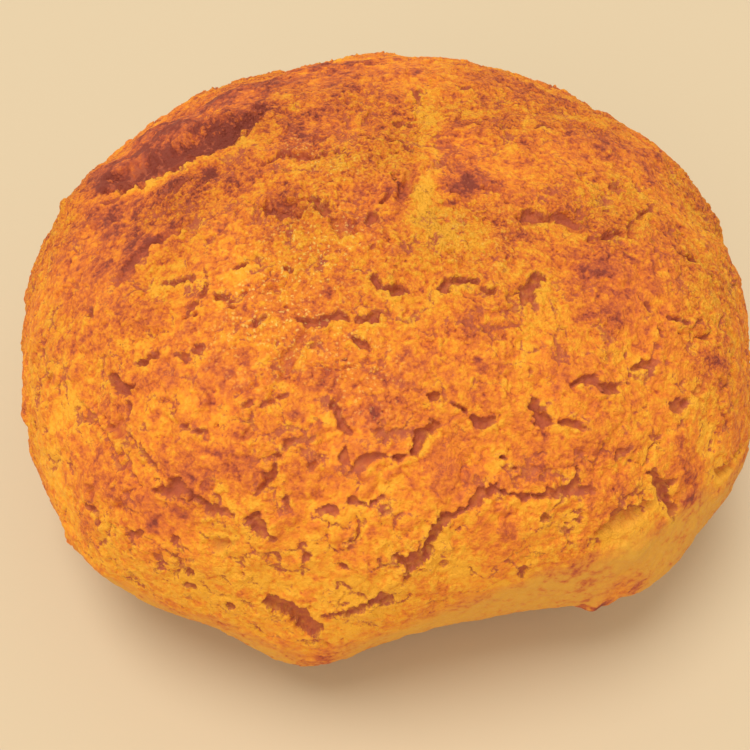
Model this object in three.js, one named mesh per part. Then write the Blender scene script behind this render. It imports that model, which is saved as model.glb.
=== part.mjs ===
// A pineapple bun: a soft round bread roll baked under a crackled sweet crust, as one solid.
// Millimetres, +Z up. The origin is the centre of the flat underside's box, on the table.
// The bun is turned from one profile, then drawn out to its uneven plan, its lumps and its hollows.
import * as THREE from "three";
import { mergeVertices } from "three/addons/utils/BufferGeometryUtils.js";

// Driving dimensions.
const WIDTH = 112; // along X, the longer way across
const DEPTH = 105; // along Y
const HEIGHT = 56;

// The profile, as radius and height before the plan is drawn out.
const RADIUS = WIDTH / 2;
const BELT_HEIGHT = 20; // the widest line, where the dome starts
const DOME_POWER = 2.32; // 2 is an ellipse, and more is fuller at the shoulder
const BASE_RADIUS = 40; // the flat that sat on the baking tray
const HEM_HEIGHT = 10.5; // the crust's lower edge
const HEM_RADIUS = 52;
const SKIN_RADIUS = 50.4; // the bread skin just under the crust's edge
const SKIN_HEIGHT = 8.6;

// How finely the solid is faceted.
const SEGMENTS_AROUND = 80;
const ROWS = { skin: 5, hem: 2, flank: 4, dome: 16 };
const WELD = 1e-3;

// The plan's uneven outline: waves in the radius, as a share of it.
const PLAN_WAVES = [
  { count: 3, cosine: 0.011, sine: -0.017 },
  { count: 4, cosine: -0.007, sine: -0.011 },
  { count: 5, cosine: -0.011, sine: 0.003 },
];

// The crust's edge dips and lifts round the bun, in millimetres of height.
const HEM_WAVES = [
  { count: 2, cosine: 0.6, sine: -1.1 },
  { count: 5, cosine: 0.7, sine: 0.5 },
];
const HEM_REACH = 8; // how far above and below its edge the crust follows those waves

// Lumps (rise above 0) and hollows (below 0), seen from the bun's heart, in degrees.
const LUMPS = [
  { name: "front corner", azimuth: -102, elevation: -13, spread: 6, rise: 3.6 },
  { name: "front left shoulder", azimuth: -139, elevation: -4, spread: 12, rise: 1.7 },
  { name: "front hollow", azimuth: -86, elevation: -9, spread: 9, rise: -1.5 },
  { name: "front right drip", azimuth: -51, elevation: -8, spread: 6.5, rise: 3.0 },
  { name: "right flank", azimuth: -16, elevation: 12, spread: 14, rise: -1.8 },
  { name: "right shoulder", azimuth: 16, elevation: 30, spread: 17, rise: 1.2 },
  { name: "back", azimuth: 84, elevation: 32, spread: 12, rise: 0.4 },
  { name: "back left flat", azimuth: 125, elevation: 36, spread: 8, rise: -0.6 },
  { name: "left dent", azimuth: 177, elevation: 24, spread: 6, rise: -1.0 },
  { name: "crown", azimuth: -120, elevation: 78, spread: 16, rise: 0.7 },
];

// A slow unevenness all over: each wave runs along its own direction.
const SWELLS = [
  { along: [0.8, 0.5, 0.3], length: 31, rise: 0.35 },
  { along: [-0.4, 0.9, 0.2], length: 24, rise: 0.3 },
  { along: [0.3, -0.2, 0.9], length: 19, rise: 0.25 },
];
const SETTLED_HEIGHT = 7; // below this the lumps fade out, so that the underside stays flat

const heart = new THREE.Vector3(0, 0, BELT_HEIGHT);

/** The dome from the belt to the crown, a superellipse quarter. */
class DomeCurve extends THREE.Curve {
  getPoint(t, target = new THREE.Vector2()) {
    const angle = (t * Math.PI) / 2;
    const power = 2 / DOME_POWER;
    const reach = t < 1 ? Math.cos(angle) ** power : 0;
    const lift = Math.sin(angle) ** power;
    return target.set(RADIUS * reach, BELT_HEIGHT + (HEIGHT - BELT_HEIGHT) * lift);
  }
}

/** The half outline of the bun, from the middle of its underside to its crown. */
function profile() {
  const baseRim = new THREE.Vector2(BASE_RADIUS, 0);
  const skinTop = new THREE.Vector2(SKIN_RADIUS, SKIN_HEIGHT);
  const hem = new THREE.Vector2(HEM_RADIUS, HEM_HEIGHT);
  const belt = new THREE.Vector2(RADIUS, BELT_HEIGHT);
  const skin = new THREE.QuadraticBezierCurve(baseRim, new THREE.Vector2(48, 1.2), skinTop);
  const lip = new THREE.QuadraticBezierCurve(skinTop, new THREE.Vector2(51, 9.4), hem);
  const flank = new THREE.QuadraticBezierCurve(hem, new THREE.Vector2(RADIUS, 14.5), belt);
  const stretches = [
    [skin, ROWS.skin],
    [lip, ROWS.hem],
    [flank, ROWS.flank],
    [new DomeCurve(), ROWS.dome],
  ];
  const rows = stretches.flatMap(([curve, count]) => curve.getSpacedPoints(count).slice(1));
  return [new THREE.Vector2(0, 0), baseRim, ...rows];
}

const wave = (waves, angle) =>
  waves.reduce(
    (sum, { count, cosine, sine }) =>
      sum + cosine * Math.cos(count * angle) + sine * Math.sin(count * angle),
    0,
  );

const bell = (offset, spread) => Math.exp(-0.5 * (offset / spread) ** 2);

/** The unit direction from the heart for an azimuth from +X and an elevation, in degrees. */
function direction(azimuth, elevation) {
  const polar = THREE.MathUtils.degToRad(90 - elevation);
  const around = THREE.MathUtils.degToRad(azimuth);
  return new THREE.Vector3(
    Math.sin(polar) * Math.cos(around),
    Math.sin(polar) * Math.sin(around),
    Math.cos(polar),
  );
}

/** Draws a turned point out to the uneven plan and gives the crust's edge its dips. */
function drawOut(point) {
  const around = Math.atan2(point.y, point.x);
  const stretch = 1 + wave(PLAN_WAVES, around);
  const dip = wave(HEM_WAVES, around) * bell(point.z - HEM_HEIGHT, HEM_REACH / 2);
  const settled = THREE.MathUtils.smoothstep(point.z, 0, SETTLED_HEIGHT);
  point.set(point.x * stretch, (point.y * stretch * DEPTH) / WIDTH, point.z + dip * settled);
}

/** How far a point stands out from the plain shape, in millimetres. */
function unevenness(point) {
  const outward = point.clone().sub(heart).normalize();
  const lumps = LUMPS.reduce((sum, { azimuth, elevation, spread, rise }) => {
    const apart = THREE.MathUtils.radToDeg(outward.angleTo(direction(azimuth, elevation)));
    return sum + rise * bell(apart, spread);
  }, 0);
  return SWELLS.reduce((sum, { along, length, rise }) => {
    const phase = point.dot(new THREE.Vector3(...along).normalize()) / length;
    return sum + rise * Math.sin(2 * Math.PI * phase);
  }, lumps);
}

/** Pushes a point out or in along the line from the heart, and leaves the underside alone. */
function raise(point) {
  const settled = THREE.MathUtils.smoothstep(point.z, 0, SETTLED_HEIGHT);
  const outward = point.clone().sub(heart).normalize();
  point.addScaledVector(outward, unevenness(point) * settled);
}

/** Fits the shape to its driving dimensions and puts the origin under the middle of its box. */
function standOnOrigin(geometry) {
  geometry.computeBoundingBox();
  const size = geometry.boundingBox.getSize(new THREE.Vector3());
  geometry.scale(WIDTH / size.x, DEPTH / size.y, HEIGHT / size.z);
  geometry.computeBoundingBox();
  const middle = geometry.boundingBox.getCenter(new THREE.Vector3());
  geometry.translate(-middle.x, -middle.y, -geometry.boundingBox.min.z);
}

/** The whole bun: turned, welded, drawn out, made uneven and stood on the table. */
function bunGeometry() {
  const turned = new THREE.LatheGeometry(profile(), SEGMENTS_AROUND).rotateX(Math.PI / 2);
  turned.deleteAttribute("normal");
  turned.deleteAttribute("uv");
  const geometry = mergeVertices(turned, WELD);
  const position = geometry.getAttribute("position");
  const point = new THREE.Vector3();
  for (let i = 0; i < position.count; i++) {
    point.fromBufferAttribute(position, i);
    drawOut(point);
    raise(point);
    position.setXYZ(i, point.x, point.y, point.z);
  }
  standOnOrigin(geometry);
  geometry.computeVertexNormals();
  return geometry;
}

const bakedCrust = new THREE.MeshStandardMaterial({
  color: new THREE.Color().setRGB(0.84, 0.47, 0.17, THREE.SRGBColorSpace),
  roughness: 0.85,
  metalness: 0,
});

const bun = new THREE.Mesh(bunGeometry(), bakedCrust);
bun.name = "bun";

const pineappleBun = new THREE.Group();
pineappleBun.add(bun);

export default pineappleBun;
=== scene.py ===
"""A pineapple bun: a soft round roll under a sweet crust that cracked and browned in the oven.

The bun is modelled round its CAD solid, in metres, with +Z up. Places on the crust are given on the
"sheet": the crust flattened out round its crown, in millimetres, with u to the right and v to the back.
"""
import itertools
import logging
import math
from dataclasses import dataclass
from enum import Enum

import bpy
import numpy as np
from mathutils import Matrix, Vector
from mathutils.bvhtree import BVHTree


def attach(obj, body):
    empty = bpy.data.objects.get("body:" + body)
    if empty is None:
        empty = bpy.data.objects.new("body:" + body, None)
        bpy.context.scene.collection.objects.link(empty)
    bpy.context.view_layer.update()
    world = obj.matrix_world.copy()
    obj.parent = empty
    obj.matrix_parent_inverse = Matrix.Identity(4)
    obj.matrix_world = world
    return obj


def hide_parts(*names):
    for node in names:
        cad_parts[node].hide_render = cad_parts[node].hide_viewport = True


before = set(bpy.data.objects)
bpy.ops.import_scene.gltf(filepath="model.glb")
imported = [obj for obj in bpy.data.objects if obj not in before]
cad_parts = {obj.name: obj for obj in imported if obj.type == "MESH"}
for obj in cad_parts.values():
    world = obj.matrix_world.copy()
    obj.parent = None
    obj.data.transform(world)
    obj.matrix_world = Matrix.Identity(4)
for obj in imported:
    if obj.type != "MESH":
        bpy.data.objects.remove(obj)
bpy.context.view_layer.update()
MM = 0.001
log = logging.getLogger("pineapple_bun")

SheetPath = tuple[tuple[float, float], ...]
Colour = tuple[float, float, float, float]

STRIP_SPACING = 0.7  # between the patches of a strip, for a reach of 1
STRIP_OVERLAP = 2.14  # what patches of 1 at that spacing add up to
PATCH_FALL = 1.4  # how steeply a patch fades out


# ---------------------------------------------------------------- tools


def deselect_all() -> None:
    """Leaves object mode with nothing selected."""
    if bpy.context.object and bpy.context.object.mode != "OBJECT":
        bpy.ops.object.mode_set(mode="OBJECT")
    bpy.ops.object.select_all(action="DESELECT")


def make_active(piece: bpy.types.Object) -> None:
    """Selects one piece alone and makes it the active one."""
    deselect_all()
    piece.select_set(True)
    bpy.context.view_layer.objects.active = piece


def finish_modifier(piece: bpy.types.Object, modifier: bpy.types.Modifier) -> None:
    """Applies a modifier, so that its work is in the mesh."""
    make_active(piece)
    bpy.ops.object.modifier_apply(modifier=modifier.name)


def vertex_places(mesh: bpy.types.Mesh) -> np.ndarray:
    """Reads the mesh's vertices.

    Args:
        mesh: any mesh.

    Returns:
        Rows of x, y and z, in metres.
    """
    places = np.empty(len(mesh.vertices) * 3, np.float32)
    mesh.vertices.foreach_get("co", places)
    return places.reshape(-1, 3).astype(float)


def smooth_step(value: np.ndarray, low: float, high: float) -> np.ndarray:
    """Eases numbers over a range.

    Args:
        value: numbers of any kind.
        low: where the ease starts.
        high: where it ends.

    Returns:
        For each number, from 0 at low to 1 at high.
    """
    share = np.clip((value - low) / (high - low), 0.0, 1.0)
    return share * share * (3.0 - 2.0 * share)


@dataclass(frozen=True)
class Unevenness:
    """Smooth seeded noise in space, for what grew by chance.

    Each lattice corner has a slope of its own, and the value between corners is eased.
    """

    seed: int

    def at(self, places: np.ndarray, length: float) -> np.ndarray:
        """Reads the noise.

        Args:
            places: rows of x, y and z.
            length: the size of one bump, in the same unit.

        Returns:
            One value for each place, from about -1 to 1.
        """
        rng = np.random.default_rng(self.seed)
        order = rng.permutation(256)
        slopes = rng.normal(size=(256, 3))
        slopes /= np.linalg.norm(slopes, axis=1, keepdims=True)
        spots = places / length
        cell = np.floor(spots).astype(int)
        part = spots - cell
        ease = part**3 * (part * (part * 6.0 - 15.0) + 10.0)
        total = np.zeros(len(places))
        for corner in itertools.product((0, 1), repeat=3):
            near = (cell + corner) & 255
            pick = order[(order[(order[near[:, 0]] + near[:, 1]) & 255] + near[:, 2]) & 255]
            height = ((part - corner) * slopes[pick]).sum(axis=1)
            total += height * np.where(corner, ease, 1.0 - ease).prod(axis=1)
        return total * 1.6

    def layered(self, places: np.ndarray, length: float, layers: int, keep: float = 0.5) -> np.ndarray:
        """Reads the noise with finer layers on top, each half as long.

        Args:
            places: rows of x, y and z.
            length: the size of the coarsest bumps.
            layers: how many layers there are.
            keep: how high each layer is beside the one before it.

        Returns:
            One value for each place.
        """
        total = np.zeros(len(places))
        for layer in range(layers):
            finer = Unevenness(self.seed + 17 * layer)
            total += keep**layer * finer.at(places, length / 2**layer)
        return total

    def drift(self, places: np.ndarray, length: float) -> np.ndarray:
        """A vector of noise for each place."""
        return np.stack([Unevenness(self.seed + n).at(places, length) for n in (1, 2, 3)], axis=1)


@dataclass(frozen=True)
class Grains:
    """Space filled with grains of about one size, packed by chance."""

    seed: int
    size: float

    def around(self, places: np.ndarray) -> tuple[np.ndarray, np.ndarray, np.ndarray]:
        """Finds the grain that each place is in.

        Args:
            places: rows of x, y and z.

        Returns:
            The distance to the grain's core, the distance to its border, and a number from 0 to 1
            that is the grain's own. The distances are in the unit of the places.
        """
        rng = np.random.default_rng(self.seed)
        order = rng.permutation(256)
        cores = rng.uniform(0.12, 0.88, size=(256, 3))
        own = rng.uniform(size=256)
        spots = places / self.size
        cell = np.floor(spots).astype(int)
        side = np.where(spots - cell > 0.5, 1, -1)
        first = np.full(len(places), 9.0)
        second = np.full(len(places), 9.0)
        mark = np.zeros(len(places))
        for corner in itertools.product((0, 1), repeat=3):
            near = cell + side * corner
            low = near & 255
            pick = order[(order[(order[low[:, 0]] + low[:, 1]) & 255] + low[:, 2]) & 255]
            away = ((near + cores[pick] - spots) ** 2).sum(axis=1)
            closer = away < first
            second = np.where(closer, first, np.minimum(second, away))
            mark = np.where(closer, own[pick], mark)
            first = np.where(closer, away, first)
        first, second = np.sqrt(first), np.sqrt(second)
        return first * self.size, 0.5 * (second - first) * self.size, mark


# ---------------------------------------------------------------- the crust's breaks


class Break(Enum):
    """How the crust has broken: its edges' softness, its least depth, its depth's share of its width.

    An OVERHANG is torn sharply on the left of its way and slopes off on the right.
    """

    CRACK = (0.3, 0.32, 0.23)
    HAIRLINE = (0.4, 0.3, 0.35)
    OVERHANG = (0.3, 0.4, 0.3)
    HOLLOW = (0.9, 0.2, 0.22)
    VALLEY = (1.3, 0.0, 0.3)

    def __init__(self, softness: float, least_depth: float, depth_share: float) -> None:
        """Keeps the edge's share of the half width, and the depth in millimetres and per width."""
        self.softness = softness
        self.least_depth = least_depth
        self.depth_share = depth_share

    def depth(self, width: float) -> float:
        """How deep a break of this width goes, in millimetres."""
        return min(2.0, self.least_depth + self.depth_share * width)


@dataclass(frozen=True)
class Fissure:
    """One break in the crust: its kind, its width in millimetres and its way over the sheet."""

    kind: Break
    width: float
    path: SheetPath


@dataclass(frozen=True)
class Patch:
    """A round patch of the crust that has more (above 0) or less (below 0) of something."""

    u: float
    v: float
    reach: float
    amount: float


def equal_patches(reach: float, amount: float, *places: tuple[float, float]) -> tuple[Patch, ...]:
    """Patches of one reach, in millimetres, and one amount, at several places on the sheet."""
    return tuple(Patch(u, v, reach, amount) for u, v in places)


def strip(reach: float, amount: float, path: SheetPath) -> tuple[Patch, ...]:
    """A row of patches that run together along a way over the sheet.

    Args:
        reach: how far the strip reaches to each side, in millimetres.
        amount: how much of it there is along its middle.
        path: its way.

    Returns:
        The patches.
    """
    row = []
    for (u, v), (onward_u, onward_v) in zip(path, path[1:]):
        along = np.array((onward_u - u, onward_v - v))
        count = max(1, round(math.hypot(*along) / (STRIP_SPACING * reach)))
        for n in range(count):
            place = np.array((u, v)) + along * n / count
            row.append(Patch(*place, reach, amount / STRIP_OVERLAP))
    return tuple(row)


# The fissures that were placed one by one: each has its width, in millimetres, and its way.
PLACED_FISSURES: dict[Break, tuple[tuple[float, SheetPath], ...]] = {
    Break.CRACK: (
        # The crown, from left to right.
        (1.2, ((-31, -1.5), (-33, -3), (-34.5, -5.5))),
        (1.1, ((-35.5, -3), (-34.8, -4.6), (-33, -5))),
        (1.0, ((-43, 0.3), (-44.5, -0.3), (-46, 0.4))),
        (0.9, ((-10.4, 0.7), (-8.6, 0.5), (-7, -1.5), (-5.5, -1.5))),
        (1.0, ((-15.5, -10.4), (-13.8, -10.8))),
        (2.0, ((-11.6, -11.8), (-10.2, -13.6), (-8.8, -15.8))),
        (1.5, ((1.1, -10.3), (-0.5, -13), (-1.7, -15.2), (-3, -17.4))),
        (1.1, ((10, -1.5), (11.6, -4))),
        (1.3, ((10.8, -8.6), (12.6, -9.4))),
        (1.2, ((-4.4, 6.5), (-2.6, 5.6), (-1.6, 4), (1, 5.3), (2.9, 4.4), (4.6, 1.9))),
        (1.4, ((3.4, 11), (4.8, 10.3))),
        (1.0, ((5.2, 22.5), (6.4, 19.5), (6.8, 17.4))),
        (1.2, ((1.5, 11), (4, 12))),
        (1.4, ((6, 22), (7.2, 21.6))),
        (3.0, ((-4.5, 37), (-2.5, 35.5), (-0.5, 36))),
        (1.8, ((13.4, 24), (16.6, 23))),
        (1.5, ((26, 10.2), (28.8, 10.4))),
        (1.6, ((35.4, -2.7), (36.6, -3.3))),
        (1.6, ((38.4, -8.6), (40, -6.5), (41.5, -4.4))),
        (1.4, ((43, -13), (46.5, -12))),
        # The left side.
        (1.3, ((-27, -21.8), (-26.6, -24.5), (-26.8, -26.3))),
        (2.1, ((-27, -26.5), (-28, -27.7), (-28.5, -29.3))),
        (1.2, ((-33, -21.8), (-30, -22.6), (-27.5, -22.8))),
        (2.2, ((-43.4, -22), (-42.2, -23))),
        (1.8, ((-25, -26), (-23, -27.2))),
        (1.4, ((-22.9, -29), (-21.9, -29))),
        (1.9, ((-35.2, -32.2), (-33.5, -33), (-31, -31.9))),
        (1.6, ((-29.2, -33.3), (-27.5, -34.1), (-25.6, -33.3))),
        (2.4, ((-39.5, -32.4), (-37, -35), (-35, -35.2))),
        (1.3, ((-34, -42.3), (-32.8, -44), (-31.5, -46))),
        (1.8, ((-22.7, -22.8), (-20.9, -22.4))),
        # The middle.
        (2.0, ((-13.4, -32), (-11.5, -33.1), (-9, -32.6), (-6.8, -32.2), (-5.4, -33.2))),
        (2.1, ((-4.2, -33), (-3, -32.9), (-1.4, -31.9))),
        (1.1, ((-2.5, -25.6), (-1, -28), (0.4, -28.3))),
        (3.0, ((0.6, -28), (2.8, -28.8))),
        (2.4, ((8, -28), (10.5, -26.8), (13.6, -26.2))),
        (1.5, ((14.5, -27.3), (16.5, -27.6))),
        (1.4, ((-5, -35), (-3.5, -36), (-2.3, -36.5))),
        (1.5, ((-8, -41.6), (-7.2, -43.4), (-5.8, -45.3), (-4.8, -46.6))),
        (1.8, ((6, -42), (7.4, -42.7))),
        (2.0, ((8.1, -45.6), (6.5, -45.9), (5.2, -47), (3.6, -48.4), (1.8, -49.4), (0.2, -49.3))),
        (1.3, ((0, -49.2), (-1.5, -48.9), (-3, -49.4), (-4.6, -50.1))),
        (1.4, ((-5.8, -48.1), (-6, -49.8))),
        (1.2, ((-10.7, -49.5), (-9.2, -48.8))),
        (1.0, ((-15.2, -47.1), (-14.3, -47.5), (-12.6, -46.2))),
        (1.2, ((-19.6, -41.2), (-18, -41.6))),
        (1.6, ((-18, -51.4), (-16.4, -50.4), (-15, -48.4))),
        # The right side.
        (2.0, ((24.6, -22.7), (22.6, -24.5), (21.3, -26.5), (20.3, -28.6))),
        (1.3, ((25.6, -38.5), (27.5, -37), (29.5, -36.4), (31.5, -37.3), (33.3, -35.4), (34.7, -34.9))),
        (1.1, ((35.1, -33.3), (36.5, -32), (38.7, -30.9))),
        (2.1, ((20.7, -40.8), (21.8, -42.5), (23.5, -43.2))),
        (1.2, ((23.5, -43.3), (26, -42.3), (28.7, -42.3))),
        (1.5, ((12.2, -44), (13.3, -44.9), (14.8, -44.3), (16.4, -43.3))),
        (1.2, ((37.5, -23.4), (38.3, -24.5))),
        (1.3, ((38.6, -26.4), (39.4, -27.6))),
        (1.6, ((47, -14.8), (48.3, -14.2))),
        (1.6, ((40.7, -35.6), (42.5, -35.3), (44.7, -33.5))),
        (1.0, ((41.2, -31.4), (41.4, -32.5))),
        (1.0, ((44.3, -41.6), (44.9, -42.3))),
        # The front, from left to right.
        (2.3, ((-32, -48.2), (-29.5, -48.3), (-27.5, -48.7), (-25.5, -50), (-24.2, -51.8))),
        (1.0, ((-24.5, -51), (-22.5, -52), (-20.8, -53), (-19.3, -54.3))),
        (1.1, ((-38.2, -52), (-35.6, -52))),
        (1.1, ((-26.2, -54.2), (-25.4, -55))),
        (1.3, ((-30.3, -57.8), (-30, -59.9))),
        (1.0, ((-32.6, -60.4), (-30.4, -62))),
        (1.9, ((-19.9, -54), (-18.3, -53.9), (-17.2, -55.2), (-15.7, -56.8))),
        (1.2, ((-9.6, -54.3), (-6.7, -54.7), (-4.8, -53.7), (-2.5, -54.5), (-0.5, -53.7))),
        (4.6, ((-19.2, -65), (-16.8, -66.3), (-14.8, -68), (-13.2, -70.2), (-12.4, -72.4))),
        (1.7, ((-11, -69), (-8.7, -68.3), (-6, -69), (-3.8, -68.3), (-2.2, -67), (0.8, -66.8), (2.4, -65.9))),
        (2.5, ((9.9, -55.6), (8, -56.6), (6.8, -58), (6, -60), (3.9, -61.6), (3, -64))),
        (1.2, ((1.2, -60.5), (3, -61.5))),
        (1.7, ((10.2, -55.4), (12, -54.6), (13.8, -53), (15.5, -51.9), (18.5, -52.3))),
        (1.4, ((18.5, -52.3), (21, -52.2), (23.5, -51), (26, -50.2), (29.9, -49.3))),
        (1.5, ((27.3, -47.4), (27.5, -49.8))),
        (1.3, ((22.7, -54.4), (24.4, -53.7))),
        (2.1, ((39.2, -44), (40.6, -45.8), (42.8, -46.8), (44.5, -47.7), (46.4, -48.8))),
    ),
    Break.HAIRLINE: (
        # The crown, from left to right.
        (1.0, ((15, 11), (17, 10.5), (19, 10.8))),
        # The left side.
        (1.0, ((-36.2, -36.8), (-35.8, -39))),
        (0.8, ((-27.7, -41.5), (-26, -42.6), (-24.3, -43.2))),
        (0.8, ((-23, -42.2), (-21, -41.8))),
        # The middle.
        (0.9, ((-7.2, -38.1), (-5.4, -37.7))),
        (1.0, ((-0.8, -45), (-1.9, -46.6))),
        (1.0, ((9.4, -42.8), (11.6, -43.6))),
        (0.7, ((-17, -42), (-15, -41.8), (-13.4, -41.1))),
        (0.9, ((-20, -31), (-18.4, -31.6), (-17, -31.2))),
        (0.9, ((-15.5, -23.8), (-14, -24.6), (-12.4, -24.4))),
        (0.7, ((-14, -50.8), (-13.6, -52), (-13.7, -53.8))),
        # The right side.
        (0.8, ((12.6, -33), (13.6, -32.8))),
        (0.8, ((15.8, -47.8), (17.2, -48.5))),
        (0.8, ((17.4, -49.6), (18.8, -49.4), (20.2, -48.5))),
        (0.8, ((32.7, -46), (33.2, -44.6), (34.9, -42.6))),
        (1.0, ((40.5, -24), (43, -23.6), (45.5, -22.3))),
        # The front, from left to right.
        (0.9, ((-45.5, -46.4), (-43, -47.8), (-43.3, -49.7))),
        (1.0, ((-31, -54.6), (-29.8, -54.3))),
        (0.9, ((-26, -65), (-24.8, -65.4))),
        (0.9, ((-11.2, -58.8), (-11.9, -60.2))),
        (0.9, ((-7.2, -61.2), (-5.6, -62))),
        (0.9, ((20.8, -61.2), (22.5, -62), (23.1, -63.6))),
        (0.8, ((26.6, -54.5), (28, -53.4), (29.4, -53.5))),
        (0.9, ((41.4, -45.4), (44, -44))),
        (1.0, ((38.2, -44.9), (39.8, -44.2))),
    ),
    Break.OVERHANG: (
        # The crown, from left to right.
        (3.6, ((-21.5, 12.5), (-25, 8), (-29, 5), (-33.5, 3.4), (-38.5, 2.4), (-43, 2.2), (-46.5, 4))),
        (1.9, ((-20.3, -1), (-18, 0.5), (-15.5, 0.5), (-12.5, -0.7), (-10.4, 0.6))),
        (4.2, ((-12.8, -14.6), (-16.5, -13), (-20, -11.6))),
        (2.1, ((20.6, -13.4), (22.6, -13), (24.5, -12.2), (28.3, -12), (30.2, -13.3))),
        (2.0, ((31.2, -15.2), (33.4, -14), (36.3, -12), (38, -9.4))),
        # The front, from left to right.
        (3.0, ((32.4, -54), (34.5, -52), (36.5, -50.6), (38.5, -49.4), (40, -48))),
        (2.8, ((52.5, -39.2), (55, -38.2), (57, -36), (59.3, -33.2))),
    ),
    Break.HOLLOW: (
        # The crown, from left to right.
        (2.8, ((-30.5, -11), (-34, -13.5), (-36.2, -15), (-37.5, -17), (-38.6, -19.8))),
        (3.2, ((-8.4, -16.2), (-6.2, -17.8), (-4.4, -18.6))),
        (3.0, ((2.2, -12.5), (3.8, -9.3), (4.2, -6))),
        (1.8, ((16.5, -7.4), (19.5, -7.6))),
        # The left side.
        (4.0, ((-51.5, -26), (-51.2, -28))),
        (3.2, ((-39.5, -39), (-36, -39.6))),
        # The middle.
        (2.4, ((-11.5, -33.5), (-12.8, -35.2), (-14, -37), (-15, -39.5))),
        (2.0, ((-18.8, -44), (-18, -45))),
        # The right side.
        (1.6, ((46.2, -30.3), (45, -32.4))),
        # The front, from left to right.
        (2.6, ((-44, -44.4), (-43.2, -45.6))),
        (1.6, ((-25.2, -56.6), (-21.5, -56))),
        (1.8, ((-12, -73), (-10.8, -75))),
    ),
    Break.VALLEY: (
        # The crown, from left to right.
        (7.5, ((-22, 15), (-28, 10), (-34, 7.5), (-40, 6.5), (-46, 8))),
    ),
}


def compass(degrees: float) -> np.ndarray:
    """A step of one millimetre over the sheet, so many degrees round from u."""
    return np.array((math.cos(math.radians(degrees)), math.sin(math.radians(degrees))))


def back_fissures(seed: int, count: int) -> tuple[Fissure, ...]:
    """More fissures, on the back of the bun, each a short walk over the sheet.

    Args:
        seed: picks the walks.
        count: how many to try.

    Returns:
        The fissures that start on the back.
    """
    rng = np.random.default_rng(seed)
    found = []
    for _ in range(count):
        reach, around = rng.uniform(38.0, 80.0), rng.uniform(-5.0, 185.0)
        place = reach * compass(around)
        heading = around + rng.choice((90.0, -90.0)) + rng.normal(0.0, 28.0)
        width = rng.choice((0.9, 1.2, 1.6, 2.2, 2.8))
        path = [tuple(place)]
        for _ in range(rng.integers(1, 4 + int(width))):
            heading += rng.normal(0.0, 32.0)
            place = place + rng.uniform(1.6, 3.2) * compass(heading)
            path.append(tuple(place))
        if len(path) > 1 and path[0][1] > 44.0 - 0.0105 * path[0][0] ** 2:
            kind = rng.choice((Break.CRACK, Break.CRACK, Break.OVERHANG))
            found.append(Fissure(kind, width, tuple(path)))
    return tuple(found)


FISSURES = (
    *(Fissure(kind, width, path) for kind, rows in PLACED_FISSURES.items() for width, path in rows),
    *back_fissures(5, 130),
)

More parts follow.
